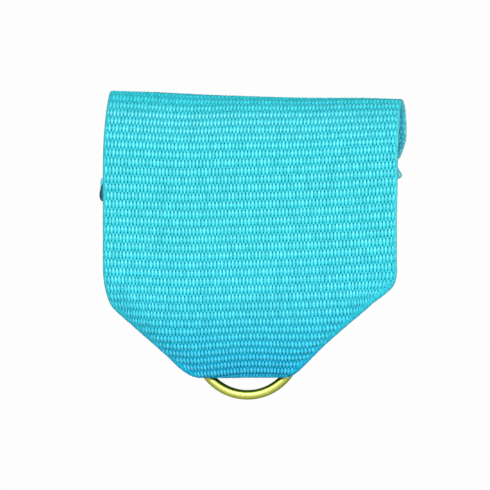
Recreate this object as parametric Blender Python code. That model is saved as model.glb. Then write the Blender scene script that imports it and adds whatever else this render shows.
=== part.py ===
"""Short ribbon drape with a suspension ring.

A woven ribbon is turned over at the top into an open round loop, runs down
as a flat front panel, is folded in to a V at the bottom, passes through a
wire ring and returns up the back as a narrow tail that is sewn to the end
of the loop.  +Z is up, the front panel faces -Y, and the origin is the
centre of the channel inside the top loop.
"""
import math

import bmesh
import bpy

MM = 0.001

# Ribbon
RIBBON_WIDTH = 35.0        # selvage to selvage
RIBBON_THICK = 0.55        # one ply
PLY_GAP = 0.10             # clearance between plies that lie on each other

# Heights are above the bottom fold, depths are behind the front face
LOOP_HEIGHT = 29.0         # centre of the loop's channel
LOOP_DEPTH = 5.0           # the same centre, behind the front face
TOP_HEIGHT = 33.5          # crown of the loop
FLAT_TOP = 25.0            # the front panel is flat up to here
FLAT_BOTTOM = 9.5          # and down to here
CROWN_TILT = 0.035         # fall of the crown per unit of width, left to right

# The V at the bottom of the front panel
FOLD_LEFT = -7.5           # ends of the straight bottom edge
FOLD_RIGHT = 4.6
CORNER_LEFT = 9.9          # heights where the side edges turn in
CORNER_RIGHT = 11.4
CORNER_SOFTNESS = 1.2

# The end of the loop's ply, sealed by melting
END_LEFT = 21.9            # height of the cut at the left selvage
END_RIGHT = 24.0
FOOT_TILT = 0.065          # climb of the loop's foot per unit of width
BEAD_RADIUS = 0.40
BEAD_OVERHANG = 0.45       # the bead spreads past each selvage

# The narrow part: ribbon folded in three
NECK_WIDTH = 7.2
TAIL_WIDTH = 11.0
TAIL_THICK = 3 * RIBBON_THICK
TAIL_TOP = 23.7

# Ring
RING_INNER = 11.0
RING_WIRE = 1.2
RING_HEIGHT = 4.0          # its centre, above the bottom fold
RING_DEPTH = 5.9
RING_X = -1.2
RING_JOINT = 0.06          # gap where the wire's ends meet

# Thread
THREAD = 0.30

# Profile points as (depth, height), joined by smooth curves
LOWER_FRONT = [(0.0, 9.5), (0.22, 8.2), (0.55, 6.7), (1.0, 5.4), (1.52, 4.2), (2.1, 3.1),
               (2.8, 2.0), (3.6, 0.9), (4.3, 0.1)]
CROWN = [(0.0, 25.1), (0.0, 25.4), (0.15, 26.8), (0.6, 28.7), (1.4, 30.8), (2.5, 32.4),
         (4.4, 33.5), (6.4, 33.0), (7.9, 31.4), (8.4, 29.5), (8.4, 29.1)]
LOOP_REAR = [(8.4, 29.0), (8.4, 28.6), (8.2, 27.2), (7.4, 25.8), (5.7, 24.8), (3.6, 24.6),
             (2.1, 24.55), (1.45, 24.2), (1.3, 23.6)]
NECK = [(5.0, 0.0), (6.4, 0.0), (7.5, 0.25), (8.1, 0.75), (8.3, 1.4), (8.3, 1.85)]
NECK_INSIDE = [(6.65, 1.85), (6.6, 1.7), (6.5, 1.65), (5.0, 1.6)]
TAIL = [(6.65, 2.0), (6.65, 5.5), (6.65, 8.0), (6.65, 9.5), (6.3, 12.5), (5.2, 15.5),
        (3.8, 18.2), (2.6, 20.2), (1.9, 21.2), (1.65, 22.0)]


def smooth_curve(points, steps=5):
    """Points along a Catmull-Rom curve that passes through the given ones."""
    out = []
    ends = [points[0]] + list(points) + [points[-1]]
    for i in range(1, len(ends) - 2):
        a, b, c, d = ends[i - 1:i + 3]
        for k in range(steps):
            t = k / steps
            row = []
            for p, q, r, s in zip(a, b, c, d):
                v = 2 * q + (r - p) * t
                v += (2 * p - 5 * q + 4 * r - s) * t * t
                v += (3 * q - p - 3 * r + s) * t ** 3
                row.append(v / 2)
            out.append(tuple(row))
    out.append(tuple(points[-1]))
    return out


def offset_curve(path, distance):
    """The path moved sideways, towards the left of its direction."""
    out = []
    for i, (d, h) in enumerate(path):
        d0, h0 = path[max(i - 1, 0)]
        d1, h1 = path[min(i + 1, len(path) - 1)]
        length = math.hypot(d1 - d0, h1 - h0)
        out.append((d - (h1 - h0) / length * distance, h + (d1 - d0) / length * distance))
    return out


def place(x, depth, height):
    """A point of the object in metres, from its width, depth and height."""
    return (x * MM, (depth - LOOP_DEPTH) * MM, (height - LOOP_HEIGHT) * MM)


def crown_shift(x, height):
    """The loop rises towards the left selvage, and its foot stays level."""
    rise = min(max((height - FLAT_TOP) / (TOP_HEIGHT - FLAT_TOP), 0.0), 1.2)
    return -CROWN_TILT * x * rise


def soft_min(a, b, softness):
    return 0.5 * (a + b - math.sqrt((a - b) ** 2 + softness ** 2))


def left_edge(height):
    slope = (RIBBON_WIDTH / 2 + FOLD_LEFT) / CORNER_LEFT
    return -soft_min(RIBBON_WIDTH / 2, -FOLD_LEFT + height * slope, CORNER_SOFTNESS)


def right_edge(height):
    slope = (RIBBON_WIDTH / 2 - FOLD_RIGHT) / CORNER_RIGHT
    return soft_min(RIBBON_WIDTH / 2, FOLD_RIGHT + height * slope, CORNER_SOFTNESS)


def left_selvage(height):
    return -RIBBON_WIDTH / 2


def right_selvage(height):
    return RIBBON_WIDTH / 2


def material(name, colour, roughness, metallic=0.0):
    mat = bpy.data.materials.new(name)
    mat.use_nodes = True
    shader = mat.node_tree.nodes["Principled BSDF"]
    shader.inputs["Base Color"].default_value = (*colour, 1.0)
    shader.inputs["Roughness"].default_value = roughness
    shader.inputs["Metallic"].default_value = metallic
    return mat


def add_object(name, bm, mat, parent=None):
    bmesh.ops.recalc_face_normals(bm, faces=bm.faces)
    mesh = bpy.data.meshes.new(name)
    bm.to_mesh(mesh)
    bm.free()
    mesh.materials.append(mat)
    obj = bpy.data.objects.new(name, mesh)
    bpy.context.collection.objects.link(obj)
    if parent:
        obj.parent = parent
    return obj


def loft(name, sections, mat, parent=None):
    """A closed body through a row of four-cornered sections, capped at both ends."""
    bm = bmesh.new()
    rings = [[bm.verts.new(place(*p)) for p in section] for section in sections]
    for a, b in zip(rings, rings[1:]):
        for i in range(4):
            j = (i + 1) % 4
            bm.faces.new((a[i], a[j], b[j], b[i]))
    bm.faces.new(rings[0])
    bm.faces.new(rings[-1])
    return add_object(name, bm, mat, parent)


def prism(name, profile, left, right, mat):
    """A closed body with one profile all the way across."""
    bm = bmesh.new()
    sides = [[bm.verts.new(place(x, d, h)) for d, h in profile] for x in (left, right)]
    for i in range(len(profile)):
        j = (i + 1) % len(profile)
        bm.faces.new((sides[0][i], sides[0][j], sides[1][j], sides[1][i]))
    for side in sides:
        bm.faces.new(side)
    return add_object(name, bm, mat)


def ply(name, outer, thick, left, right, mat, tilt=False):
    """One layer of ribbon that follows a profile, between its left and right edges."""
    inner = offset_curve(outer, -thick)
    sections = []
    for (d0, h0), (d1, h1) in zip(outer, inner):
        xl, xr = left(h0), right(h0)
        corners = [(xl, d0, h0), (xr, d0, h0), (xr, d1, h1), (xl, d1, h1)]
        if tilt:
            corners = [(x, d, h + crown_shift(x, h)) for x, d, h in corners]
        sections.append(corners)
    return loft(name, sections, mat)


def corner_flap(name, front, low, tip, crease, free_corner, mat):
    """The folded-in corner behind the panel: creased edge, top edge and inner edge."""
    near = offset_curve(front, -(RIBBON_THICK + PLY_GAP))
    far = offset_curve(front, -(2 * RIBBON_THICK + PLY_GAP))
    sections = []
    for (d0, h0), (d1, h1) in zip(near, far):
        if not low[1] <= h0 <= tip[1]:
            continue
        inner = low[0] + (tip[0] - low[0]) * (h0 - low[1]) / (tip[1] - low[1])
        outer = crease(h0)
        if h0 > free_corner[1]:
            part = (h0 - free_corner[1]) / (tip[1] - free_corner[1])
            outer += (tip[0] - free_corner[0]) * part * 0.97
        sections.append([(inner, d0, h0), (outer, d0, h0), (outer, d1, h1), (inner, d1, h1)])
    return loft(name, sections, mat)


def bead(name, start, end, radius, mat, sides=12, stations=24):
    """A rounded ridge between two points, a little lumpy like melted yarn."""
    bm = bmesh.new()
    rings = []
    for i in range(stations + 1):
        t = i / stations
        x, d, h = (a + (b - a) * t for a, b in zip(start, end))
        end_round = math.sqrt(max(1 - abs(2 * t - 1) ** 18, 0.12))
        r = radius * end_round * (1 + 0.05 * math.sin(19 * t + 0.6))
        ring = []
        for k in range(sides):
            a = 2 * math.pi * k / sides
            ring.append(bm.verts.new(place(x, d + r * math.cos(a), h + r * math.sin(a))))
        rings.append(ring)
    for a, b in zip(rings, rings[1:]):
        for k in range(sides):
            j = (k + 1) % sides
            bm.faces.new((a[k], a[j], b[j], b[k]))
    bm.faces.new(rings[0])
    bm.faces.new(rings[-1])
    return add_object(name, bm, mat)


def zigzag_stitch(name, centre_x, width, low, high, depth, count, mat, sides=8):
    """A bar of zigzag stitches, one thread lying on the back of the tail."""
    bm = bmesh.new()
    points = []
    for i in range(count + 1):
        x = centre_x - width / 2 + width * i / count
        points.append((x, depth, low if i % 2 == 0 else high))
    rings = []
    for i, (x, d, h) in enumerate(points):
        x0, _, h0 = points[max(i - 1, 0)]
        x1, _, h1 = points[min(i + 1, count)]
        length = math.hypot(x1 - x0, h1 - h0)
        nx, nh = -(h1 - h0) / length, (x1 - x0) / length
        ring = []
        for k in range(sides):
            a = 2 * math.pi * k / sides
            u, v = THREAD / 2 * math.cos(a), THREAD / 2 * math.sin(a)
            ring.append(bm.verts.new(place(x + nx * u, d + v, h + nh * u)))
        rings.append(ring)
    for a, b in zip(rings, rings[1:]):
        for k in range(sides):
            j = (k + 1) % sides
            bm.faces.new((a[k], a[j], b[j], b[k]))
    bm.faces.new(rings[0])
    bm.faces.new(rings[-1])
    return add_object(name, bm, mat)


def wire_ring(name, mat, parent, segments=80, sides=14):
    """Round wire bent to a ring about its own origin, its ends nearly meeting at the top."""
    middle = (RING_INNER + RING_WIRE) / 2
    opening = RING_JOINT / middle
    bm = bmesh.new()
    rings = []
    for i in range(segments + 1):
        a = math.pi / 2 + opening / 2 + (2 * math.pi - opening) * i / segments
        ring = []
        for k in range(sides):
            b = 2 * math.pi * k / sides
            r = middle + RING_WIRE / 2 * math.cos(b)
            y = RING_WIRE / 2 * math.sin(b)
            ring.append(bm.verts.new((r * math.cos(a) * MM, y * MM, r * math.sin(a) * MM)))
        rings.append(ring)
    for a, b in zip(rings, rings[1:]):
        for k in range(sides):
            j = (k + 1) % sides
            bm.faces.new((a[k], a[j], b[j], b[k]))
    bm.faces.new(rings[0])
    bm.faces.new(rings[-1])
    ring = add_object(name, bm, mat, parent)
    ring.data.shade_smooth()
    return ring


def tail_width(height):
    """The tail spreads from the neck's width to its own just above the ring's level."""
    part = min(max((height - 2.0) / 4.0, 0.0), 1.0)
    return NECK_WIDTH + (TAIL_WIDTH - NECK_WIDTH) * part * part * (3 - 2 * part)


def between(first, second, part):
    """The section part of the way from one section to the next."""
    return [tuple(a + (b - a) * part for a, b in zip(p, q)) for p, q in zip(first, second)]


def loop_end(half_width):
    """The loop's rear ply. Its foot and its cut end climb from left to right."""
    outer = smooth_curve(LOOP_REAR)
    inner = offset_curve(outer, -RIBBON_THICK)
    sections = []
    for i, ((d0, h0), (d1, h1)) in enumerate(zip(outer, inner)):
        tilt = FOOT_TILT * min(i / (len(outer) * 0.6), 1.0)
        corners = [(-half_width, d0, h0), (half_width, d0, h0), (half_width, d1, h1), (-half_width, d1, h1)]
        sections.append([(x, d, h + crown_shift(x, h) + tilt * x) for x, d, h in corners])
    near, far = outer[-1][0] - RIBBON_THICK, outer[-1][0]
    low, high = END_LEFT + BEAD_RADIUS + 0.1, END_RIGHT + BEAD_RADIUS + 0.1
    sections[-1] = [(-half_width, far, low), (half_width, far, high), (half_width, near, high), (-half_width, near, low)]
    return sections


for old in list(bpy.data.objects):
    bpy.data.objects.remove(old, do_unlink=True)

ribbon = material("ribbon", (0.060, 0.610, 0.720), 0.55)
melted = material("melted_edge", (0.010, 0.130, 0.190), 0.35)
thread = material("thread", (0.050, 0.480, 0.560), 0.60)
brass = material("brass", (0.800, 0.610, 0.220), 0.22, 1.0)

half = RIBBON_WIDTH / 2
front_curve = [(0.0, FLAT_TOP), (0.0, 19.0)]
front_curve += [(0.0, 14.0 - 0.45 * i) for i in range(10)]
front_curve += smooth_curve(LOWER_FRONT)
ply("front_panel", front_curve[::-1], RIBBON_THICK, left_edge, right_edge, ribbon)

ply("top_loop", smooth_curve(CROWN), RIBBON_THICK, left_selvage, right_selvage, ribbon, tilt=True)
rear = loop_end(half)
bend = 16                  # the section where the rear ply turns forward into the loop's foot
loft("upper_back_ply", rear[:bend + 1], ribbon)
loft("loop_foot", [between(rear[bend], rear[bend + 1], 0.3)] + rear[bend + 1:], ribbon)

fine_front = smooth_curve([(0.0, 14.0), (0.0, 12.0), (0.0, FLAT_BOTTOM)], 24)
fine_front += smooth_curve(LOWER_FRONT, 10)[1:]
fine_front = fine_front[::-1]
corner_flap("left_corner_flap", fine_front, (-2.0, 1.5), (-8.9, 11.4), left_edge, (-half, CORNER_LEFT), ribbon)
corner_flap("right_corner_flap", fine_front, (-1.0, 1.5), (6.6, 12.7), right_edge, (half, CORNER_RIGHT), ribbon)

neck_profile = smooth_curve(NECK, 3) + NECK_INSIDE
prism("bottom_fold", neck_profile, RING_X - NECK_WIDTH / 2, RING_X + NECK_WIDTH / 2, ribbon)

tail_curve = smooth_curve(TAIL) + [(1.65, 22.5), (1.65, TAIL_TOP - BEAD_RADIUS * 2)]
tail_sections = []
for (d0, h0), (d1, h1) in zip(tail_curve, offset_curve(tail_curve, -TAIL_THICK)):
    w = tail_width(h0) / 2
    xl, xr = RING_X - w, RING_X + w
    tail_sections.append([(xl, d0, h0), (xr, d0, h0), (xr, d1, h1), (xl, d1, h1)])
loft("rear_tail", tail_sections, ribbon)

overhang = half + BEAD_OVERHANG
bead_depth = 1.3 - RIBBON_THICK / 2
bead("upper_cut_end", (-overhang, bead_depth, END_LEFT), (overhang, bead_depth, END_RIGHT), BEAD_RADIUS, melted)
tail_end = (RING_X - TAIL_WIDTH / 2 - 0.1, 1.65 + TAIL_THICK / 2, TAIL_TOP - 0.25)
tail_far = (RING_X + TAIL_WIDTH / 2 + 0.1, 1.65 + TAIL_THICK / 2, TAIL_TOP - 0.25)
bead("tail_cut_end", tail_end, tail_far, BEAD_RADIUS, melted)

stitch_depth = 1.65 + TAIL_THICK + THREAD / 2 + 0.05
zigzag_stitch("stitch_bar", RING_X, 9.6, 22.1, 22.8, stitch_depth, 24, thread)

pivot = bpy.data.objects.new("ring_axis", None)
pivot.location = place(RING_X, RING_DEPTH, RING_HEIGHT)
bpy.context.collection.objects.link(pivot)
wire_ring("suspension_ring", brass, pivot)
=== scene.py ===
"""Looks for the ribbon drape: woven ribbon, melted edges, thread and wire ring."""
import math

import bpy
import numpy as np
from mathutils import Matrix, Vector


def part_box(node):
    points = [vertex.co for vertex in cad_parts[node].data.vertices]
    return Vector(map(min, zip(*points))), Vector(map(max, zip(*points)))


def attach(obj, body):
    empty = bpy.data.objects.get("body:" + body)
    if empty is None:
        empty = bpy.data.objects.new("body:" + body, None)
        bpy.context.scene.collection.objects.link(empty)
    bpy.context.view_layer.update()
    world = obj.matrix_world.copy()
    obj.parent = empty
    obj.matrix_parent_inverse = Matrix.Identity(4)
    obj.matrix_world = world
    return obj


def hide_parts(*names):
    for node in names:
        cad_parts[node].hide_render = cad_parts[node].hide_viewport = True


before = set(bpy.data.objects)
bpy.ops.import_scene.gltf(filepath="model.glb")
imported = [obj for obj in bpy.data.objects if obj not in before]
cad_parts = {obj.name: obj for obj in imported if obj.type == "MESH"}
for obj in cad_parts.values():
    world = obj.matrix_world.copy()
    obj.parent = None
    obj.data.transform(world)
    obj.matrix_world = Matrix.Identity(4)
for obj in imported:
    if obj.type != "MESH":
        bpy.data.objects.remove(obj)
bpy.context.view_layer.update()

MM = 0.001

# Lengths are in millimetres. On the drape, x runs to the right, d is the depth behind the panel's
# front face and h the height above the bottom fold. On the ribbon, u runs across and s along it,
# with s = 0 at the bottom fold, and y is s with the bow of the ribs added.

# Ribbon and weave
WIDTH = 35.16              # a 35 mm ribbon, over its selvages
EDGE = 17.5                # half its nominal width
THICK = 0.55               # over the crests of the weave
PLY_GAP = 0.10
RIB = 1.0                  # pitch of the ribs along the ribbon
RIB_HEIGHT = 0.05
RIB_SWELL = 0.06           # the ribs stand this much higher near the bottom fold and the crown
FLOATS = 82                # raised warp floats across one rib
PITCH = WIDTH / FLOATS
FLOAT_HEIGHT = 0.14
FLOAT_A = 0.53             # half width of a float over the pitch
FLOAT_B = 0.66             # half length of a float over the rib
FLOAT_POWER = 3.2          # a little fuller than an ellipse along the float
PIT_AT, PIT_A, PIT_B = 0.35, 0.17, 0.12   # pits between the floats' ends
PIT_DEPTH = 0.10
PRESSED_WEAVE = 0.8        # height of a weave that is pressed flat, over a float's
REVERSE_WEAVE = 0.7        # and of the reverse side
PRESSED_RIB = 0.15         # a pressed rib stays this much above its middle height, over the rib's
SELVAGE = 0.30             # the edges round off over this width
SELVAGE_ROUND, SELVAGE_THIN = 0.93, 0.42  # how round they are, and the least thickness left there
SELVAGE_WAVE = 0.012       # the edges step in and out by this much at each rib
CORD = 0.34                # the floats flatten out over about this width at the selvage
CORD_HEIGHT, CORD_RIPPLE = 0.66, 0.16     # height there over a float's, and its change along a rib
CORD_SHARE = 0.85          # how much of the weave is lost there

# Mesh
PER_FLOAT = 4              # columns in one float
FRONT_ROWS, LOOP_ROWS = 6, 8              # rows in one rib
ROW_ZERO = COLUMN_ZERO = 100.0            # the material counts ribs and floats from here, to stay above 0

# The V fold: ends of the straight bottom edge and heights of the side corners
FOLD_LEFT, FOLD_RIGHT = -7.5, 4.6
FOLD_DEPTH = 4.6           # d where s is 0
CORNER_LEFT, CORNER_RIGHT = 9.9, 11.4
INSET_LEFT, INSET_RIGHT = -0.07, 0.70     # the creases start this far in from those ends
ROUNDING, ROUNDING_RISE = 0.90, 2.6       # the bottom edge's left end is rounded off by this much
SWELL, SWELL_AT, SWELL_WIDTH = 0.26, 2.3, 1.7   # the right crease stands out a little, low down
EDGE_TILT = 0.012          # rise of the bottom edge from left to right
CREASE_RADIUS = (THICK + PLY_GAP) / 2
ROLL, ROLL_WIDTH = 0.55, 2.3              # both plies curl back towards the crease
CREASE_PRESS, CREASE_PRESS_WIDTH = 0.85, 0.20   # how flat the weave is pressed in the crease
BOTTOM_PRESS, BOTTOM_PRESS_WIDTH = 0.70, 0.30   # and in the bottom fold
CROWN_PRESS = 0.42         # and over the crown
FUNNEL_X = -1.45           # the warp draws in towards here at the bottom
FUNNEL, FUNNEL_RISE = 0.09, 5.0
# Rounded side corners: side, where it starts, how fast it turns in, and by how much at most
CORNER_PULL = ((-1, 14.3, 0.036, 1.0), (1, 14.2, 0.090, 1.3))

# How the ribs stray along the ribbon: a slope, a sag and a dip all over, and an arch above the V
BOW_SLOPE, BOW_SAG, BOW_MEAN = 0.017, 0.0014, 0.05
DIP, DIP_AT, DIP_WIDTH = 0.14, -8, 4
ARCH, ARCH_AT, ARCH_WIDTH = 0.50, -0.4, 5.0

# Crown and loop
FLAT_TOP, TOP_HEIGHT = 25.0, 33.5         # the panel is flat up to the first of these heights
CROWN_TILT = 0.035         # fall of the crown from left to right
CROWN_ENDS = 0.17          # the crown's two ends stand this much higher
LEFT_SAG = 0.34            # the ribs hang this much lower below the crown's left end
LEAN = -0.08               # the panel's middle, left of the origin
SWAY = 0.18                # the loop's crown leans this far to the right
DRIFT = 0.25               # and its end has slipped this far to the left
RIGHT_BULGE = 0.12         # the panel's right edge stands out by this much below the crown
LEFT_FLARE = 0.20          # the loop's end widens to the left by this much
FOOT_TILT = 0.065          # rise of the loop's foot from left to right
FOOT_SAG = 0.15            # and how much it hangs at its right end
OPEN_LIFT, OPEN_LIFT_BACK = 0.27, 0.85    # the open right end stands higher, most of all behind
OPEN_DEPTH = 0.3           # and comes forward by this much
END_LEFT, END_RIGHT = 21.85, 24.1         # heights of the loop's cut end
FRONT_TOP = 38.0           # the front piece of the strip ends here, just past the crown
CUT_RUN = 5                # the last rows slant over this length

# Ring, neck and tail
RING_X = -1.2
NECK_HALF, TAIL_HALF = 3.02, 4.92
TAIL_TURNS = (-6.2, 5.4)   # where the tail is folded in three, across the ribbon
LEFT_TURN, RIGHT_TURN = 0.92, 1.84        # radius of its two folds over the crease's
PLEAT, PLEAT_PITCH = 0.07, 2.6            # small pleats where it is drawn in
TAIL_TOP = 23.55

# Outer faces as (d, h)
FRONT = [(0.0, 25.0), (0.0, 19.0), (0.0, 14.0), (0.0, 11.0), (0.0, 9.5), (0.22, 8.2), (0.55, 6.7),
         (1.00, 5.4), (1.52, 4.2), (2.10, 3.1), (2.75, 2.0), (3.5, 0.92), (4.1, 0.08),
         (4.5, -0.22), (4.9, -0.18)]
CROWN = [(0.0, 25.1), (0.0, 25.4), (0.15, 26.8), (0.6, 28.7), (1.4, 30.8), (2.5, 32.4), (4.4, 33.55),
         (6.4, 33.0), (7.9, 31.4), (8.4, 29.5), (8.4, 29.0), (8.4, 28.6), (8.2, 27.2), (7.4, 25.8),
         (5.7, 24.8), (3.6, 24.6), (2.1, 24.55), (1.45, 24.2), (1.3, 23.6), (1.3, 22.6), (1.3, 21.0)]
NECK = [(5.4, 0.0), (6.4, 0.1), (7.5, 0.35), (8.1, 0.8), (8.3, 1.4), (8.3, 1.85)]
TAIL = [(8.3, 2.0), (8.3, 5.5), (8.3, 8.0), (8.3, 9.5), (7.95, 12.7), (6.8, 15.9), (5.35, 18.7),
        (4.2, 20.8), (3.5, 21.9), (3.3, 22.7), (3.3, 23.7)]

DEPTH_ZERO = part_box("front_panel")[0][1] / MM       # d is 0 at the panel's front face
HEIGHT_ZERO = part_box("bottom_fold")[0][2] / MM      # h is 0 at the bottom fold


# ---------------------------------------------------------------- curves

def ease(x, a, b):
    """A soft step from 0 at a to 1 at b."""
    t = np.clip((x - a) / (b - a), 0, 1)
    return t * t * (3 - 2 * t)


def hump(x, centre, width):
    """A bell curve, 1 at its centre."""
    return np.exp(-((x - centre) / width) ** 2)


def smooth_curve(points, steps=12):
    """Catmull-Rom curve through the points."""
    pts = np.array([points[0]] + list(points) + [points[-1]], float)
    t = np.linspace(0, 1, steps, endpoint=False)[:, None]
    out = []
    for a, b, c, d in zip(pts, pts[1:], pts[2:], pts[3:]):
        out.append(0.5 * (2 * b + (c - a) * t + (2 * a - 5 * b + 4 * c - d) * t ** 2
                          + (3 * b - a - 3 * c + d) * t ** 3))
    return np.vstack(out + [pts[-1:]])


def arc_lengths(curve):
    """Arc length from the curve's start to each of its points."""
    return np.concatenate([[0], np.cumsum(np.linalg.norm(np.diff(curve, axis=0), axis=1))])


def resample(curve, step=0.05):
    """The curve with its points evenly apart."""
    length = arc_lengths(curve)
    at = np.arange(0, length[-1], step)
    return np.stack([np.interp(at, length, curve[:, k]) for k in (0, 1)], 1)


def soften(curve, half):
    """Moving average, which keeps the two ends."""
    kernel = np.hanning(2 * half + 1)
    kernel /= kernel.sum()
    padded = np.vstack([curve[:1].repeat(half, 0), curve, curve[-1:].repeat(half, 0)])
    padded[:half] = 2 * curve[0] - padded[half + 1:2 * half + 1][::-1]
    padded[-half:] = 2 * curve[-1] - padded[-2 * half - 1:-half - 1][::-1]
    return np.stack([np.convolve(padded[:, k], kernel, "valid") for k in (0, 1)], 1)


def strip_path():
    """The ribbon's middle line from the tail's end to the loop's end: s and (d, h) at each point."""
    outer = smooth_curve(TAIL)[::-1].tolist() + smooth_curve(NECK)[::-1].tolist()
    outer += smooth_curve(FRONT)[::-1].tolist() + smooth_curve(CROWN).tolist()
    curve = soften(resample(np.array(outer)), 9)
    run = np.gradient(curve, axis=0)
    run /= np.linalg.norm(run, axis=1)[:, None]
    inward = np.stack([run[:, 1], -run[:, 0]], 1)
    middle = soften(resample(curve + inward * THICK / 2), 5)
    arc = arc_lengths(middle)
    fold = (middle[:, 1] < 3) & (middle[:, 0] < 5.2)
    start = arc[fold][np.argmax(middle[fold, 0] < FOLD_DEPTH)]
    return arc - start, middle


ARC, MIDDLE = strip_path()
RUN = np.gradient(MIDDLE, ARC, axis=0)
RUN /= np.linalg.norm(RUN, axis=1)[:, None]


def on_path(y):
    """Depth, height and inward direction of the middle line at arc length y."""
    d, h, run_d, run_h = [np.interp(y, ARC, grid[:, k]) for grid in (MIDDLE, RUN) for k in (0, 1)]
    size = np.hypot(run_d, run_h)
    return d, h, run_h / size, -run_d / size


def arc_at_height(height, low, high):
    """The arc length between low and high where the middle line is at a height."""
    inside = (ARC > low) & (ARC < high)
    return ARC[inside][np.argmin(np.abs(MIDDLE[inside, 1] - height))]


CROWN_ARC = ARC[np.argmax(MIDDLE[:, 1] * (ARC > 0))]
REAR_ARC = ARC[np.argmax(MIDDLE[:, 0] * (ARC > CROWN_ARC - 3))]
END_ARC = arc_at_height(0.5 * (END_LEFT + END_RIGHT), REAR_ARC + 6, 1000)
TAIL_ARC = arc_at_height(TAIL_TOP, -1000, -8)


# ---------------------------------------------------------------- the strip in space

def bow(u, s):
    """How far the ribs stray along the ribbon, across its width."""
    lift = BOW_SLOPE * u + BOW_SAG * u ** 2 + BOW_MEAN - DIP * hump(u, DIP_AT, DIP_WIDTH)
    arch = ARCH * hump(u, ARCH_AT, ARCH_WIDTH) * (1 - ease(s, 1.5, 9.5))
    return (lift + arch) * ease(s, -6.0, -1.0)


def bottom_press(y):
    """How flat the weave is pressed around the bottom fold."""
    return BOTTOM_PRESS * hump(y, 0, BOTTOM_PRESS_WIDTH)


def crease_x(y, side):
    """Where the V's crease crosses arc length y, on the left (-1) or right (+1)."""
    height = np.interp(y, ARC, MIDDLE[:, 1])
    if side < 0:
        turn_in = ROUNDING * np.clip(1 - y / ROUNDING_RISE, 0, 1.3) ** 2
        return FOLD_LEFT + INSET_LEFT + turn_in + (-WIDTH / 2 - FOLD_LEFT) * height / CORNER_LEFT
    swell = SWELL * hump(y, SWELL_AT, SWELL_WIDTH)
    return FOLD_RIGHT - INSET_RIGHT + swell + (WIDTH / 2 - FOLD_RIGHT) * height / CORNER_RIGHT


def crease_slope(y, side, step=0.05):
    """How much the crease moves across for each step along, and the length of such a step."""
    slope = (crease_x(y + step, side) - crease_x(y - step, side)) / (2 * step)
    return slope, np.sqrt(1 + slope ** 2)


def fold_back(x, y, side):
    """Folds what lies past the crease in behind the panel.

    Returns x, y, the offset inward, how much further both plies curl in, how flat the weave is
    pressed, and where the strip is past the crease.
    """
    # at is the arc length of the crease's nearest point
    at = y.copy()
    for _ in range(6):
        slope, size = crease_slope(at, side)
        at = at + ((x - crease_x(at, side)) * slope + (y - at)) / size / size
    slope, size = crease_slope(at, side)
    nx, ny = side / size, -side * slope / size
    past = (x - crease_x(at, side)) * nx + (y - at) * ny
    r = CREASE_RADIUS
    turn = np.clip(past / r, 0, math.pi)
    flat = np.where(past < 0, past, r * np.sin(turn) - np.maximum(past - math.pi * r, 0))
    offset = np.where(past < 0, 0, r * (1 - np.cos(turn)))
    away = np.where(past < 0, -past, np.maximum(-flat, 0))
    roll = ROLL * np.clip(1 - away / ROLL_WIDTH, 0, 1) ** 2
    press = CREASE_PRESS * hump(away, 0, CREASE_PRESS_WIDTH)
    return crease_x(at, side) + nx * flat, at + ny * flat, offset, roll, press, past > 0


def uneven(x, y, d, h):
    """The panel and loop as they really hang: tilted, leaning and open at the right end."""
    # the crown stands higher at its ends and falls to the right, and the ribs sag below its left
    rise = np.clip((h - FLAT_TOP) / (TOP_HEIGHT - FLAT_TOP), 0, 1.2)
    h = h + rise * (CROWN_ENDS * ease(np.abs(x), 5, 14) - CROWN_TILT * x)
    below_crown = ease(rise, 0.1, 0.8) * (1 - ease(rise, 0.78, 0.99)) * (y < CROWN_ARC)
    h = h - LEFT_SAG * ease(-x, 0, 14) * below_crown
    h = h + EDGE_TILT * (x - FOLD_LEFT) * (1 - ease(y, 0, 5))

    # the loop's foot rises to the right, and its right end hangs open
    foot = ease(y, REAR_ARC, REAR_ARC + 5)
    sag = FOOT_SAG * ease(x, 6, EDGE) * (1 - ease(y, END_ARC - 2.5, END_ARC - 0.6))
    h = h + foot * (FOOT_TILT * x - sag)
    open_end = ease(x, 2, EDGE) * ease(y, REAR_ARC - 3.5, REAR_ARC + 4.5)
    h = h + open_end * (OPEN_LIFT * ease(d, 1.6, 5.8) + OPEN_LIFT_BACK * ease(d, 5.0, 8.6))
    d = d - OPEN_DEPTH * open_end * (1 - ease(y, REAR_ARC + 6, REAR_ARC + 9))

    # the panel's right edge and the loop's left end stand out, and the loop leans and has slipped
    flare = LEFT_FLARE * ease(-x, 14, EDGE) * ease(y, END_ARC - 7.0, END_ARC - 1.2)
    beside = ease(y, 19.5, 25.5) * (1 - ease(y, CROWN_ARC - 6, CROWN_ARC))
    x = x + RIGHT_BULGE * ease(x, 8, EDGE) * beside
    sway = SWAY * ease(y, 27, REAR_ARC - 2)
    back = (SWAY + DRIFT) * ease(y, REAR_ARC + 1, REAR_ARC + 7)
    return x + LEAN + sway - back - flare, d, h


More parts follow.
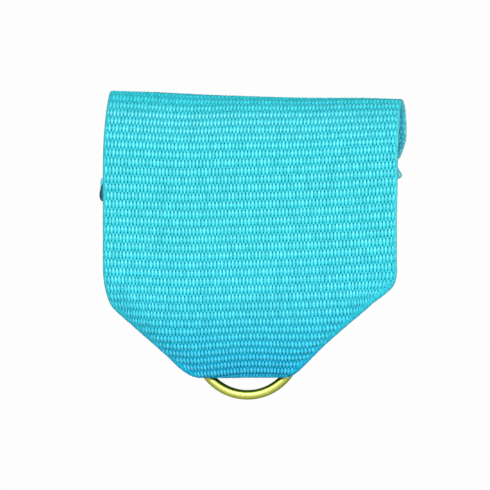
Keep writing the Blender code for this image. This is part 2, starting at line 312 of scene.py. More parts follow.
def front_and_loop(u, s):
    """The strip above the bottom fold: x, d, h and how flat its weave is pressed."""
    y = s + bow(u, s)
    draw = FUNNEL * np.clip((FUNNEL_RISE - y) / FUNNEL_RISE, 0, 1) ** 2
    x = FUNNEL_X + (u - FUNNEL_X) * (1 - draw)
    for side, start, rate, most in CORNER_PULL:
        pull = np.minimum(rate * np.maximum(start - y, 0) ** 2, most)
        x = x - side * pull * ease(side * u, 11, EDGE)
    offset = np.zeros_like(x)
    press = bottom_press(y)
    low = y < 20
    for side in (-1, 1):
        part = low & (side * u > 0)
        if part.any():
            fx, fy, inward, roll, near, past = fold_back(x[part], y[part], side)
            x[part] = np.where(past, fx, x[part])
            y[part] = np.where(past, fy, y[part])
            offset[part] = inward + roll * ease(y[part], 0.5, 3.0)
            press[part] = np.maximum(press[part], near)
    d, h, nd, nh = on_path(y)
    x, d, h = uneven(x, y, d + nd * offset, h + nh * offset)
    over = ease(s, CROWN_ARC - 3, CROWN_ARC - 0.5) * (1 - ease(s, CROWN_ARC + 2, CROWN_ARC + 6))
    return x, d, h, np.maximum(press, CROWN_PRESS * over)


def neck_and_tail(u, s):
    """The strip below and behind the bottom fold, folded in three and drawn in at the neck."""
    y = s + bow(u, s)
    toward = ease(-s, 0.0, 8.0)
    squeeze = ease(-y, -0.1, 1.0)
    spread = ease(-y, 4.0, 9.0)
    half = NECK_HALF + (TAIL_HALF - NECK_HALF) * spread
    ends = (FOLD_LEFT + INSET_LEFT + ROUNDING, FOLD_RIGHT - INSET_RIGHT)
    edges, edges_u = [], []
    for side, end, turn_u in zip((-1, 1), ends, TAIL_TURNS):
        edges.append(end * (1 - squeeze) + (RING_X + side * half) * squeeze)
        start_u = FUNNEL_X + (end - FUNNEL_X) / (1 - FUNNEL)
        edges_u.append(start_u + (turn_u - start_u) * toward)
    k = (edges[1] - edges[0]) / (edges_u[1] - edges_u[0])
    x = edges[0] + (u - edges_u[0]) * k
    offset = np.zeros_like(x)
    for side, edge, edge_u, ratio in zip((-1, 1), edges, edges_u, (LEFT_TURN, RIGHT_TURN)):
        r = CREASE_RADIUS * ratio
        past = side * (u - edge_u) * k
        turn = np.clip(past / r, 0, math.pi)
        flat = r * np.sin(turn) - np.maximum(past - math.pi * r, 0)
        x = np.where(past > 0, edge + side * flat, x)
        offset = np.where(past > 0, r * (1 - np.cos(turn)), offset)
    offset = offset + PLEAT * (1 - spread) * ease(-y, 0.3, 1.5) * np.sin(u * 2 * math.pi / PLEAT_PITCH)
    d, h, nd, nh = on_path(y)
    h = h + EDGE_TILT * (x - FOLD_LEFT) * (1 - ease(-y, 0, 5))
    return x, d + nd * offset, h + nh * offset, bottom_press(y)


# ---------------------------------------------------------------- weave relief

VARY_ROWS, VARY_COLUMNS = 211, 97         # the floats' variation repeats after this many
rng = np.random.default_rng(7)
FLOAT_VARY = rng.uniform(0.80, 1.10, (VARY_ROWS, VARY_COLUMNS))
FLOAT_SHIFT = rng.uniform(-0.08, 0.08, (VARY_ROWS, VARY_COLUMNS))


def rib_wave(s):
    """1 on the crest of each rib and -1 between them."""
    return np.cos(2 * math.pi * (s / RIB - 0.5))


def weave_height(u, s):
    """Height of the floats, from 0 between them to about 1 on a crest."""
    row = np.floor(s / RIB)
    along = s / RIB - row - 0.5
    best = np.zeros_like(u)
    # a point is on the float of its own row or on the end of one of the nearer row beside it
    for step in (0, 1):
        j = row + np.where(along > 0, 1, -1) * step
        ds = np.abs(along) if step == 0 else 1 - np.abs(along)
        at = u / PITCH + 0.5 * np.mod(j, 2)
        i = np.floor(at)
        vary = np.mod(j, VARY_ROWS).astype(int), np.mod(i, VARY_COLUMNS).astype(int)
        du = at - i - 0.5 + FLOAT_SHIFT[vary]
        dome = 1 - (du / FLOAT_A) ** 2 - (ds / FLOAT_B) ** FLOAT_POWER
        best = np.maximum(best, FLOAT_VARY[vary] * np.sqrt(np.maximum(dome, 0)))
        if step == 0:
            pit = np.exp(-((0.5 - np.abs(du)) / PIT_A) ** 2 - ((ds - PIT_AT) / PIT_B) ** 2)
    woven = best - PIT_DEPTH / FLOAT_HEIGHT * pit
    inset = WIDTH / 2 - np.abs(u)
    blend = CORD_SHARE * ease(-inset, -CORD * 1.6, -CORD * 0.4)
    return woven * (1 - blend) + (CORD_HEIGHT + CORD_RIPPLE * rib_wave(s)) * blend


def strip_surfaces(place, u, s):
    """The outer and the inner face of a stretch of ribbon, and how flat it is pressed."""
    x, d, h, press = place(u, s)
    edge = np.clip((np.abs(u) - (WIDTH / 2 - SELVAGE)) / SELVAGE, 0, 1)
    at_side = edge * (np.abs(x) > EDGE - 0.5)
    x = x + SELVAGE_WAVE * np.sign(u) * at_side * np.cos(2 * math.pi * s / RIB)
    middle = np.stack([x, d, h], -1)
    normal = np.cross(np.gradient(middle, axis=1), np.gradient(middle, axis=0))
    normal /= np.linalg.norm(normal, axis=-1)[..., None] + 1e-12
    taper = np.maximum(np.sqrt(1 - edge ** 2 * SELVAGE_ROUND), SELVAGE_THIN)
    swell = RIB_SWELL * (1 - ease(s, 6, 12) + ease(s, CROWN_ARC - 6, CROWN_ARC - 2))
    rib = (RIB_HEIGHT + swell) * (0.5 + (1 - press) * 0.5 * rib_wave(s) + PRESSED_RIB * press)
    ground = THICK / 2 - FLOAT_HEIGHT - RIB_HEIGHT - swell
    weave = PRESSED_WEAVE * press + (1 - press) * weave_height(u, s)
    outer = middle + normal * ((ground + rib + FLOAT_HEIGHT * weave) * taper)[..., None]
    inner = middle - normal * ((ground + rib + FLOAT_HEIGHT * REVERSE_WEAVE) * taper)[..., None]
    return outer, inner[:, ::PER_FLOAT], press


def closing_faces(rows, cols, few):
    """Faces of a closed strip between an outer grid and an inner one that has fewer columns."""
    out = np.arange(rows * cols).reshape(rows, cols)
    back = np.arange(rows * few).reshape(rows, few) + rows * cols
    quads = [np.stack([out[:-1, :-1], out[:-1, 1:], out[1:, 1:], out[1:, :-1]], -1).reshape(-1, 4),
             np.stack([back[:-1, :-1], back[1:, :-1], back[1:, 1:], back[:-1, 1:]], -1).reshape(-1, 4),
             np.stack([out[:-1, 0], out[1:, 0], back[1:, 0], back[:-1, 0]], -1),
             np.stack([out[:-1, -1], back[:-1, -1], back[1:, -1], out[1:, -1]], -1)]
    rims = []
    for i in range(few - 1):
        run = list(range(i * PER_FLOAT, (i + 1) * PER_FLOAT + 1))
        rims.append([back[0, i], back[0, i + 1]] + [out[0, c] for c in run[::-1]])
        rims.append([back[-1, i + 1], back[-1, i]] + [out[-1, c] for c in run])
    return np.vstack(quads), np.array(rims)


def store(mesh, key, values):
    """Keeps a number at each point, which the material reads."""
    mesh.attributes.new(key, "FLOAT", "POINT").data.foreach_set("value", values)


def link_object(name, mesh):
    obj = bpy.data.objects.new(name, mesh)
    bpy.context.collection.objects.link(obj)
    return obj


def strip_mesh(name, place, s_rows, cut=None):
    """A closed mesh of one stretch of ribbon: fine floats outside, ribs inside."""
    u, s = np.meshgrid(np.linspace(-WIDTH / 2, WIDTH / 2, FLOATS * PER_FLOAT + 1), s_rows)
    if cut is not None:
        s = cut(u, s)
    outer, inner, press = strip_surfaces(place, u, s)
    points = np.vstack([outer.reshape(-1, 3), inner.reshape(-1, 3)])
    points = (points + [0, DEPTH_ZERO, HEIGHT_ZERO]) * MM
    quads, rims = closing_faces(outer.shape[0], outer.shape[1], inner.shape[1])
    corners = np.concatenate([quads.ravel(), rims.ravel()])
    starts = np.concatenate([np.arange(len(quads)) * quads.shape[1],
                             quads.size + np.arange(len(rims)) * rims.shape[1]])
    mesh = bpy.data.meshes.new(name)
    mesh.vertices.add(len(points))
    mesh.vertices.foreach_set("co", points.ravel())
    mesh.loops.add(len(corners))
    mesh.loops.foreach_set("vertex_index", corners.astype(np.int32))
    mesh.polygons.add(len(starts))
    mesh.polygons.foreach_set("loop_start", starts.astype(np.int32))
    mesh.update(calc_edges=True)
    mesh.polygons.foreach_set("use_smooth", np.arange(len(starts)) < len(quads))
    for key, grid in (("weave_u", u / PITCH), ("weave_s", s / RIB + ROW_ZERO), ("pressed", press)):
        store(mesh, key, np.concatenate([grid.ravel(), grid[:, ::PER_FLOAT].ravel()]))
    store(mesh, "reverse", (np.arange(len(points)) >= u.size).astype(float))
    mesh.validate()
    return link_object(name, mesh)


def rows_between(low, high, per_rib):
    return np.linspace(low, high, int(round((high - low) / RIB * per_rib)) + 1)


# ---------------------------------------------------------------- node helpers

class Nodes:
    """Short names for building a node tree."""

    def __init__(self, tree):
        self.tree = tree

    def add(self, kind, **settings):
        node = self.tree.nodes.new(kind)
        for key, value in settings.items():
            setattr(node, key, value)
        return node

    def feed(self, socket, value):
        """Sets a constant on the socket, or links another node's output to it."""
        if isinstance(value, (int, float, tuple, list)):
            socket.default_value = value
        else:
            self.tree.links.new(value, socket)

    def feed_all(self, node, values):
        for socket, value in zip(node.inputs, values):
            self.feed(socket, value)
        return node.outputs[0]

    def math(self, operation, *values):
        return self.feed_all(self.add("ShaderNodeMath", operation=operation), values)

    def plus(self, a, b):
        return self.math("ADD", a, b)

    def minus(self, a, b):
        return self.math("SUBTRACT", a, b)

    def times(self, a, b):
        return self.math("MULTIPLY", a, b)

    def size(self, value):
        return self.math("ABSOLUTE", value)

    def power(self, value, exponent):
        return self.math("POWER", value, exponent)

    def span(self, value, low, high, to_low, to_high):
        """Maps low..high to to_low..to_high, and keeps within them."""
        return self.feed_all(self.add("ShaderNodeMapRange"), (value, low, high, to_low, to_high))

    def vector(self, x, y, z=0.0):
        return self.feed_all(self.add("ShaderNodeCombineXYZ"), (x, y, z))

    def attribute(self, name):
        return self.add("ShaderNodeAttribute", attribute_name=name).outputs["Fac"]

    def object_place(self):
        return self.add("ShaderNodeTexCoord").outputs["Object"]

    def split(self, vector):
        node = self.add("ShaderNodeSeparateXYZ")
        self.feed(node.inputs[0], vector)
        return node.outputs

    def noise(self, vector, scale, detail, roughness):
        node = self.add("ShaderNodeTexNoise")
        settings = {"Vector": vector, "Scale": scale, "Detail": detail, "Roughness": roughness}
        for key, value in settings.items():
            self.feed(node.inputs[key], value)
        return node.outputs["Fac"]

    def ramp(self, value, stops):
        node = self.add("ShaderNodeValToRGB")
        self.feed(node.inputs["Fac"], value)
        elements = node.color_ramp.elements
        elements[0].position, elements[0].color = stops[0][0], (*stops[0][1], 1)
        elements[1].position, elements[1].color = stops[-1][0], (*stops[-1][1], 1)
        for position, colour in stops[1:-1]:
            elements.new(position).color = (*colour, 1)
        return node.outputs["Color"]

    def mix(self, factor, a, b, blend="MIX"):
        node = self.add("ShaderNodeMix", data_type="RGBA", blend_type=blend)
        self.feed(node.inputs[0], factor)
        for socket, colour in ((node.inputs[6], a), (node.inputs[7], b)):
            self.feed(socket, (*colour, 1) if isinstance(colour, tuple) else colour)
        return node.outputs[2]

    def tint(self, colour, by):
        return self.mix(1.0, colour, by, "MULTIPLY")

    def bump(self, height, strength, distance, below=None):
        node = self.add("ShaderNodeBump")
        for key, value in (("Strength", strength), ("Distance", distance), ("Height", height)):
            self.feed(node.inputs[key], value)
        if below is not None:
            self.feed(node.inputs["Normal"], below)
        return node.outputs["Normal"]


def new_material(name, colour=(0.8, 0.8, 0.8), roughness=0.5):
    """A material with its node helper and its shader's inputs."""
    material = bpy.data.materials.new(name)
    material.use_nodes = True
    looks = material.node_tree.nodes["Principled BSDF"].inputs
    looks["Base Color"].default_value = (*colour, 1)
    looks["Roughness"].default_value = roughness
    return material, Nodes(material.node_tree), looks


# ---------------------------------------------------------------- ribbon material

# Dye with painted shade in the gaps: colour from the gaps to the crests of the floats, as (height,
# colour)
DYE_AND_GAP_SHADE = [(0.0, (0.001, 0.170, 0.240)), (0.42, (0.004, 0.290, 0.360)),
       (0.75, (0.034, 0.430, 0.490)), (1.0, (0.052, 0.515, 0.575))]
# painted shade in the pits between the floats' ends
PIT_SHADE = (0.000, 0.105, 0.180)
CORD_DYE = (0.030, 0.400, 0.450)
EDGE_DYE = (0.085, 0.330, 0.350)
# painted light: the reverse face is made lighter, as light reaching the inside of the loop
REVERSE_PAINTED_LIGHT = (2.4, 1.52, 1.62)
PRESSED_DYE = 0.66         # the height that a pressed weave takes its dye from
# Where the looks change along the ribbon: above the bottom fold, below the crown and around it
LOW_START, LOW_FULL = 12, 3
HIGH_START, HIGH_FULL = 8, 3.5
DULL_FULL, DULL_END = 1.4, 3.6
# Painted shade makes it deeper and bluer towards the bottom fold: 0 at the fold, 1 from the reach on the
# next line away
FOLD_SHADE_REACH = 16.0
FOLD_SHADE = [(0.0, (0.23, 0.72, 0.98)), (0.15, (0.36, 0.84, 1.09)), (0.32, (0.60, 0.92, 1.07)),
          (0.6, (0.90, 0.96, 1.02)), (1.0, (1.0, 1.0, 1.0))]


def stagger(n, u, shifted):
    """Counts the floats across a row, which starts half a float on where it is shifted."""
    return n.plus(n.plus(u, COLUMN_ZERO), n.times(shifted, 0.5))


def off_centre(n, count):
    """How far a point is from the middle of its float or rib, from -0.5 to 0.5."""
    return n.minus(n.math("FRACT", count), 0.5)


def square(n, value, width):
    return n.power(n.size(n.math("DIVIDE", value, width)), 2.0)


def oval(n, du, ds):
    """The square of a float's height, and below 0 outside the float."""
    ends = n.power(n.math("DIVIDE", ds, FLOAT_B), FLOAT_POWER)
    return n.minus(n.minus(1.0, square(n, du, FLOAT_A)), ends)


def grain(n, u, s, across, along, detail, roughness=0.5):
    """Noise that changes this often across each float and along each rib."""
    return n.noise(n.vector(n.times(u, across), n.times(s, along)), 1.0, detail, roughness)


def weave_pattern(n, u, s, reverse):
    """The weave as the mesh has it: height, pits, place along the float, and a number for each float."""
    row = n.math("FLOOR", s)
    odd = n.math("MODULO", n.plus(row, n.math("ROUND", reverse)), 2.0)
    columns = stagger(n, u, odd)
    here = off_centre(n, columns)
    there = off_centre(n, stagger(n, u, n.minus(1.0, odd)))
    along = off_centre(n, s)
    ds = n.size(along)
    highest = n.math("MAXIMUM", oval(n, here, ds), oval(n, there, n.minus(1.0, ds)))
    pile = n.math("SQRT", n.math("MAXIMUM", highest, 0.0))
    gap = n.minus(0.5, n.size(here))
    pit = n.plus(square(n, gap, PIT_A), square(n, n.minus(ds, PIT_AT), PIT_B))
    pit = n.math("EXPONENT", n.times(pit, -1.0))
    dice = n.add("ShaderNodeTexWhiteNoise", noise_dimensions="2D")
    n.feed(dice.inputs["Vector"], n.vector(n.math("FLOOR", columns), row))
    return pile, pit, along, dice.outputs["Value"]


def ribbon_material():
    material, n, looks = new_material("ribbon_weave")
    u, s, reverse, pressed = [n.attribute(key) for key in ("weave_u", "weave_s", "reverse", "pressed")]
    pile, pit, along, dice = weave_pattern(n, u, s, reverse)
    firm = n.minus(1.0, pressed)
    pile = n.plus(n.times(pile, firm), n.times(pressed, PRESSED_DYE))

    # low grows towards the bottom fold, high towards the crown, and cord towards the selvages
    crown = ROW_ZERO + CROWN_ARC / RIB
    low = n.span(s, ROW_ZERO + LOW_START, ROW_ZERO + LOW_FULL, 0.0, 0.8)
    high = n.span(s, crown - HIGH_START, crown - HIGH_FULL, 0.0, 0.85)
    inset = n.minus(WIDTH / 2, n.times(n.size(u), PITCH))
    cord = n.span(inset, CORD * 1.6, CORD * 0.3, 0.0, 1.0)
    off_cord = n.minus(1.0, n.times(cord, 0.8))
    faded = n.plus(n.times(low, 0.2), n.times(high, 0.30))
    pit = n.times(n.times(n.times(pit, firm), off_cord), n.minus(1.0, faded))

    # near the fold and the crown the colour has painted highlights on the crests only, and the rest of
    # the weave is an even mid-tone
    even = n.times(n.plus(low, high), firm)
    crest = n.plus(0.57, n.times(n.power(pile, 6.0), 0.56))
    shade = n.plus(n.times(pile, n.minus(1.0, even)), n.times(crest, even))
    # the ramp paints shade into the gaps between the floats
    colour = n.ramp(shade, DYE_AND_GAP_SHADE)
    # the pits are painted dark as shade
    colour = n.mix(n.times(pit, 0.90), colour, PIT_SHADE)
    colour = n.mix(n.times(cord, 0.75), colour, CORD_DYE)
    colour = n.mix(n.span(inset, 0.18, 0.02, 0.0, 0.85), colour, EDGE_DYE)

    # each yarn and each float is a little lighter or darker than the next
    yarn = grain(n, u, s, 1.7, 3.7, 2.0, 0.7)
    cloud = grain(n, u, s, 0.05, 0.11, 2.0)
    tone = n.plus(n.times(yarn, 1.30), n.plus(n.times(cloud, 0.03), 0.24))
    tone = n.plus(tone, n.times(dice, 0.14))
    colour = n.tint(colour, n.vector(tone, tone, tone))
    from_fold = n.size(n.minus(s, ROW_ZERO))
    # painted shade, deeper and bluer towards the bottom fold
    colour = n.tint(colour, n.ramp(n.span(from_fold, 0.0, FOLD_SHADE_REACH, 0.0, 1.0), FOLD_SHADE))
    # painted light on the reverse face, which lightens the inside of the loop
    colour = n.mix(n.times(reverse, 0.9), colour, n.tint(colour, REVERSE_PAINTED_LIGHT))
    n.feed(looks["Base Color"], colour)

    # the floats shine along their crests, mostly on the upper half, and not right at the crown
    clear = n.times(n.times(n.power(pile, 7.0), n.minus(1.0, pit)), off_cord)
    clear = n.times(clear, n.math("MAXIMUM", n.span(along, -0.42, 0.02, 0.0, 1.0), high))
    clear = n.times(clear, n.span(n.size(n.minus(s, crown)), DULL_FULL, DULL_END, 0.0, 1.0))
    shine = n.plus(0.42, n.plus(n.times(low, 0.9), n.times(high, 1.5)))
    n.feed(looks["Specular IOR Level"], n.times(clear, n.plus(shine, n.times(dice, 0.4))))
    n.feed(looks["Roughness"], n.minus(0.80, n.times(pile, 0.42)))
    n.feed(looks["IOR"], 1.45)

    fibre = grain(n, u, s, 9.0, 1.1, 3.0, 0.6)
    relief = n.bump(fibre, 0.35, 0.04 * MM)
    n.feed(looks["Normal"], n.bump(n.times(pile, reverse), 0.5, 0.10 * MM, relief))
    return material


# ---------------------------------------------------------------- other materials

def melted_material():
    """Melted yarn, which is darker at the left end."""
    material, n, looks = new_material("melted_yarn")
    place = n.object_place()
    lump = n.noise(place, 1400.0, 3.0, 0.6)
    # about 0.07 at the ridge's left end and 0.93 at its right
    toward = n.plus(n.times(n.split(place)[0], 24.0), 0.5)
    base = n.ramp(toward, [(0.05, (0.002, 0.040, 0.058)), (0.95, (0.060, 0.420, 0.420))])
    n.feed(looks["Base Color"], n.mix(n.times(lump, 0.5), base, (0.020, 0.210, 0.260)))
    n.feed(looks["Roughness"], n.plus(0.24, n.times(lump, 0.25)))
    n.feed(looks["Normal"], n.bump(lump, 0.5, 0.06 * MM))
    return material


def thread_material():
    material, n, looks = new_material("sewing_thread", roughness=0.55)
    twist = n.noise(n.object_place(), 9000.0, 2.0, 0.6)
    n.feed(looks["Base Color"], n.mix(twist, (0.015, 0.330, 0.440), (0.060, 0.600, 0.720)))
    n.feed(looks["Sheen Weight"], 0.2)
    n.feed(looks["Normal"], n.bump(twist, 0.5, 0.03 * MM))
    return material


# Brass with painted light, by place on the wire: 0 on its inner side, painted dark as shade, 0.5 on its
# faces, painted with a bright highlight band, 1 on its outer side, painted darker as shade
BRASS_PAINTED_LIGHT = [(0.0, (0.020, 0.045, 0.002)), (0.18, (0.110, 0.180, 0.010)), (0.36, (0.330, 0.390, 0.070)),
         (0.53, (0.640, 0.660, 0.190)), (0.70, (0.600, 0.630, 0.120)), (0.86, (0.330, 0.380, 0.040)),
         (1.0, (0.220, 0.270, 0.030))]


def brass_material():
    material, n, looks = new_material("brass_wire")
    place = n.object_place()
    stain = n.noise(place, 420.0, 3.0, 0.55)
    fine = n.noise(place, 5200.0, 2.0, 0.6)
    wear = n.plus(0.88, n.times(stain, 0.24))
    # the ramp paints shade on the wire's inner and outer sides and a highlight band on its faces
    colour = n.tint(n.ramp(n.attribute("wire_side"), BRASS_PAINTED_LIGHT), n.vector(wear, wear, wear))
    n.feed(looks["Base Color"], colour)
    n.feed(looks["Metallic"], 1.0)
    n.feed(looks["Roughness"], n.plus(0.38, n.times(fine, 0.12)))
    n.feed(looks["Normal"], n.bump(fine, 0.12, 0.02 * MM))
    return material


# ---------------------------------------------------------------- round bodies

def wrapped_faces(rows, sides):
    """Quads around rows of points, and a cap at each end."""
    index = np.arange(rows * sides).reshape(rows, sides)
    turned = np.roll(index, -1, axis=1)
    quads = np.stack([index[:-1], turned[:-1], turned[1:], index[1:]], -1).reshape(-1, 4)
    return quads.tolist() + [index[0][::-1].tolist(), index[-1].tolist()]


def turn_angles(sides):
    return np.arange(sides) / sides * 2 * math.pi


def tube(centres, radii, sides=14):
    """A closed tube along points, with its own radius at each."""
    centres = np.array(centres, float)
    run = np.gradient(centres, axis=0)
    run /= np.linalg.norm(run, axis=1)[:, None]
    side = np.cross(run, [0.0, 1.0, 0.0])
    side /= np.linalg.norm(side, axis=1)[:, None]
    other = np.cross(side, run)
    angle = turn_angles(sides)
    ring = side[:, None] * np.cos(angle)[None, :, None] + other[:, None] * np.sin(angle)[None, :, None]
    points = centres[:, None] + ring * np.array(radii, float)[:, None, None]
    return points.reshape(-1, 3), wrapped_faces(len(centres), sides)


def blob(centre, size, seed, droop, rows=13, sides=20):
    """A small lump of melted yarn. Its lower half leans to the right by the droop."""
    shape = np.random.default_rng(seed).uniform(0, 2 * math.pi, 4)
    up = np.linspace(0.02, math.pi - 0.02, rows)[:, None]
    around = turn_angles(sides)
    swell = 1 + 0.07 * np.sin(2 * around + shape[0]) * np.sin(3 * up + shape[1])
    swell = swell + 0.05 * np.sin(3 * around + shape[2])
    points = np.stack([np.sin(up) * np.cos(around) * swell * size[0],
                       np.sin(up) * np.sin(around) * swell * size[1],
                       np.cos(up) * np.ones_like(around) * size[2]], -1)
    points[..., 0] -= droop * points[..., 2]
    # its rows run downwards, which would turn the faces inside out
    faces = [face[::-1] for face in wrapped_faces(rows, sides)]
    return (points + np.array(centre)).reshape(-1, 3), faces


def add_mesh(name, bodies, material):
    """One object from several closed bodies."""
    points, faces, count = [], [], 0
    for body_points, body_faces in bodies:
        points.append(body_points)
        faces += [[i + count for i in face] for face in body_faces]
        count += len(body_points)
    points = (np.vstack(points) + [0, DEPTH_ZERO, HEIGHT_ZERO]) * MM
    mesh = bpy.data.meshes.new(name)
    mesh.from_pydata(points.tolist(), [], faces)
    mesh.validate()
    mesh.polygons.foreach_set("use_smooth", [True] * len(mesh.polygons))
    mesh.materials.append(material)
    return link_object(name, mesh)


def across_row(x, d, h):
    """Points along x at one depth, where h may vary."""
    return np.stack([x, np.full_like(x, d), np.zeros_like(x) + h], 1)


def blunt(t, power):
    """Thickness along an edge, full nearly all the way and falling off at its two ends."""
    return np.sqrt(np.clip(1 - np.abs(2 * t - 1) ** power, 0.05, 1))


# ---------------------------------------------------------------- pieces

# The ridge of the loop's melted end
BEAD_WIDTH, BEAD_X, BEAD_D, BEAD_R = 36.0, -0.15, 1.02, 0.33
# The blobs at its ends: centre, half sizes, seed of the shape and droop
BLOBS = [((-17.77, 1.06, END_LEFT + 0.20), (0.42, 0.40, 1.10), 3, -0.10),
         ((17.50, 0.98, END_RIGHT - 0.02), (0.50, 0.40, 0.50), 4, 0.20),
         ((17.38, 0.95, END_RIGHT + 0.45), (0.36, 0.34, 0.50), 5, 0.30)]
TAIL_BEAD_WIDTH, TAIL_BEAD_D, TAIL_BEAD_R = 11.1, 2.475, 0.80
TAIL_BEAD_FLAT = 0.45      # height of the tail's bead over its depth
STITCHES, STITCH_WIDTH, STITCH_LOW, STITCH_HIGH = 26, 9.6, 22.1, 23.0
STITCH_D, STITCH_ARCH, THREAD_R = 3.22, 0.20, 0.12
RING_JOINT = 0.03          # half of the closed gap in the wire, at the top of the ring


def loop_cut(u, s):
    """Lets the last rows run to the slanted cut at the loop's end."""
    height = END_LEFT + (END_RIGHT - END_LEFT) * (u + WIDTH / 2) / WIDTH - FOOT_TILT * u
    end = END_ARC - (height - 0.5 * (END_LEFT + END_RIGHT)) - bow(u, s)
    start = END_ARC - CUT_RUN
    return np.where(s > start, start + (s - start) * (end - start) / CUT_RUN, s)


def upper_edge(material):
    """The loop's melted end: a lumpy ridge with blobs at the selvages."""
    t = np.linspace(0, 1, 90)
    lumps = 0.05 * np.sin(t * 71) + 0.04 * np.sin(t * 143 + 1.3) + 0.03 * np.sin(t * 233 + 0.4)
    height = END_LEFT + (END_RIGHT - END_LEFT) * t
    line = across_row(BEAD_X + (t - 0.5) * BEAD_WIDTH, BEAD_D, height)
    ridge = tube(line, (BEAD_R + lumps * 0.8) * blunt(t, 40))
    return add_mesh("upper_melted_edge", [ridge] + [blob(*lump) for lump in BLOBS], material)


def tail_edge(material):
    """The tail's melted end, a flattened ridge over its three layers."""
    t = np.linspace(0, 1, 50)
    radii = TAIL_BEAD_R + 0.06 * np.sin(t * 41) + 0.05 * np.sin(t * 83 + 1)
    line = across_row(RING_X + (t - 0.5) * TAIL_BEAD_WIDTH, TAIL_BEAD_D, TAIL_TOP)
    points, faces = tube(line, radii * blunt(t, 26), 18)
    points[:, 2] = TAIL_TOP + (points[:, 2] - TAIL_TOP) * TAIL_BEAD_FLAT
    return add_mesh("tail_melted_edge", [(points, faces)], material)


def zigzag(material):
    """Separate stitches of a bar tack, each diving into the cloth at its ends."""
    k = np.linspace(0, 1, 11)
    arch = STITCH_D + STITCH_ARCH * np.sin(math.pi * k) ** 0.6
    heights = (STITCH_LOW, STITCH_HIGH)
    bodies = []
    for i in range(STITCHES):
        x = RING_X - STITCH_WIDTH / 2 + STITCH_WIDTH * (i + k) / STITCHES
        start, end = heights[i % 2], heights[1 - i % 2]
        line = np.stack([x, arch, start + (end - start) * k], 1)
        bodies.append(tube(line, np.full_like(k, THREAD_R), 8))
    return add_mesh("stitch_bar_thread", bodies, material)


def ring_piece(material):
    """The wire ring, with its closed joint at the top, in the CAD ring's place."""
    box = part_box("suspension_ring")
    centre = [(a + b) / 2 for a, b in zip(*box)]
    wire = (box[1][1] - box[0][1]) / 2 / MM
    middle = (box[1][0] - box[0][0]) / 2 / MM - wire
    gap = RING_JOINT / middle
    angle = np.linspace(math.pi / 2 + gap, math.pi * 2.5 - gap, 257)
    x0, d0, h0 = centre[0] / MM, centre[1] / MM - DEPTH_ZERO, centre[2] / MM - HEIGHT_ZERO
    line = across_row(x0 + middle * np.cos(angle), d0, h0 + middle * np.sin(angle))
    radii = np.full_like(angle, wire)
    radii[[0, -1]] *= 0.9
    points, faces = tube(line, radii, 32)
    obj = add_mesh("brass_ring", [(points, faces)], material)
    side = (np.hypot(points[:, 0] - x0, points[:, 2] - h0) - middle) / wire
    store(obj.data, "wire_side", 0.5 + 0.5 * side)
    return obj


front = strip_mesh("ribbon_front", front_and_loop, rows_between(0.0, FRONT_TOP, FRONT_ROWS))
loop = strip_mesh("ribbon_loop", front_and_loop, rows_between(FRONT_TOP, END_ARC, LOOP_ROWS), loop_cut)
tail = strip_mesh("ribbon_tail", neck_and_tail, rows_between(TAIL_ARC, 0.0, FRONT_ROWS))
ribbon = ribbon_material()
for piece in (front, loop, tail):
    piece.data.materials.append(ribbon)
melted = melted_material()
upper_end = upper_edge(melted)
tail_end = tail_edge(melted)
stitches = zigzag(thread_material())
ring = ring_piece(brass_material())

for piece in (front, loop, tail, upper_end, tail_end, stitches):
    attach(piece, "ribbon")
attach(ring, "ring")
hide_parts("front_panel", "left_corner_flap", "right_corner_flap")
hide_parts("top_loop", "upper_back_ply", "loop_foot")
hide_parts("bottom_fold", "rear_tail")
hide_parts("upper_cut_end")
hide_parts("tail_cut_end")
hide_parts("stitch_bar")
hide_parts("suspension_ring")


# ---------------------------------------------------------------- stage, light and camera, in metres

FLOOR_RADIUS, FLOOR_Z = 0.15, -0.075
AZIMUTH, DISTANCE, LENS = math.radians(9), 0.6, 370     # a long lens, a little to the right
LOOK_AT = (-0.00133, 0.0, -0.01325)
# name, place, point aimed at, diameter and power
LIGHTS = [("key", (-0.06, -0.52, 0.17), (0, 0, -0.01), 0.20, 3.60),
          ("side", (0.45, -0.22, 0.08), (0, 0, 0.0), 0.22, 1.9),
          ("back_fill", (-0.15, 0.55, 0.35), (0, 0, -0.01), 0.40, 1.6)]


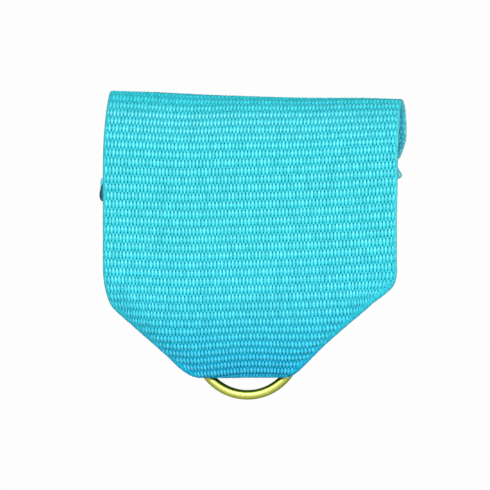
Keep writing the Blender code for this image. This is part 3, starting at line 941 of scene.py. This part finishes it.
def floor_disc():
    angles = turn_angles(96)
    points = [(FLOOR_RADIUS * math.cos(a), FLOOR_RADIUS * math.sin(a), FLOOR_Z) for a in angles]
    mesh = bpy.data.meshes.new("floor")
    mesh.from_pydata(points, [], [list(range(len(points)))])
    mesh.materials.append(new_material("pale_floor", (0.86, 0.86, 0.86), 0.8)[0])
    return link_object("floor", mesh)


def studio_world():
    """Soft light, stronger from the front and above, and white where nothing else is seen."""
    world = bpy.data.worlds.new("studio")
    bpy.context.scene.world = world
    world.use_nodes = True
    world.node_tree.nodes.clear()
    n = Nodes(world.node_tree)
    direction = n.split(n.add("ShaderNodeTexCoord").outputs["Generated"])
    facing = n.span(direction[1], 0.9, -0.9, 0.06, 0.24)
    rising = n.span(direction[2], -0.6, 0.3, 0.15, 1.0)
    soft = n.feed_all(n.add("ShaderNodeBackground"), ((0.92, 0.97, 1.0, 1), n.times(facing, rising)))
    white = n.feed_all(n.add("ShaderNodeBackground"), ((0.985, 0.985, 0.985, 1), 1.0))
    seen = n.add("ShaderNodeLightPath").outputs["Is Camera Ray"]
    n.feed(n.add("ShaderNodeOutputWorld").inputs[0],
           n.feed_all(n.add("ShaderNodeMixShader"), (seen, soft, white)))


def aim(obj, place, target):
    obj.location = place
    obj.rotation_euler = (Vector(target) - Vector(place)).to_track_quat("-Z", "Y").to_euler()
    bpy.context.collection.objects.link(obj)


def area_light(name, place, target, size, power):
    light = bpy.data.lights.new(name, "AREA")
    light.shape = "DISK"
    light.size = size
    light.energy = power
    aim(bpy.data.objects.new(name, light), place, target)


def add_camera():
    camera = bpy.data.cameras.new("camera")
    camera.lens = LENS
    camera.sensor_width = 36
    eye = bpy.data.objects.new("camera", camera)
    back = Vector((math.sin(AZIMUTH), -math.cos(AZIMUTH), 0))
    aim(eye, Vector(LOOK_AT) + DISTANCE * back, LOOK_AT)
    bpy.context.scene.camera = eye


floor = floor_disc()
studio_world()
for light in LIGHTS:
    area_light(*light)
add_camera()
bpy.context.scene.view_settings.view_transform = "Standard"
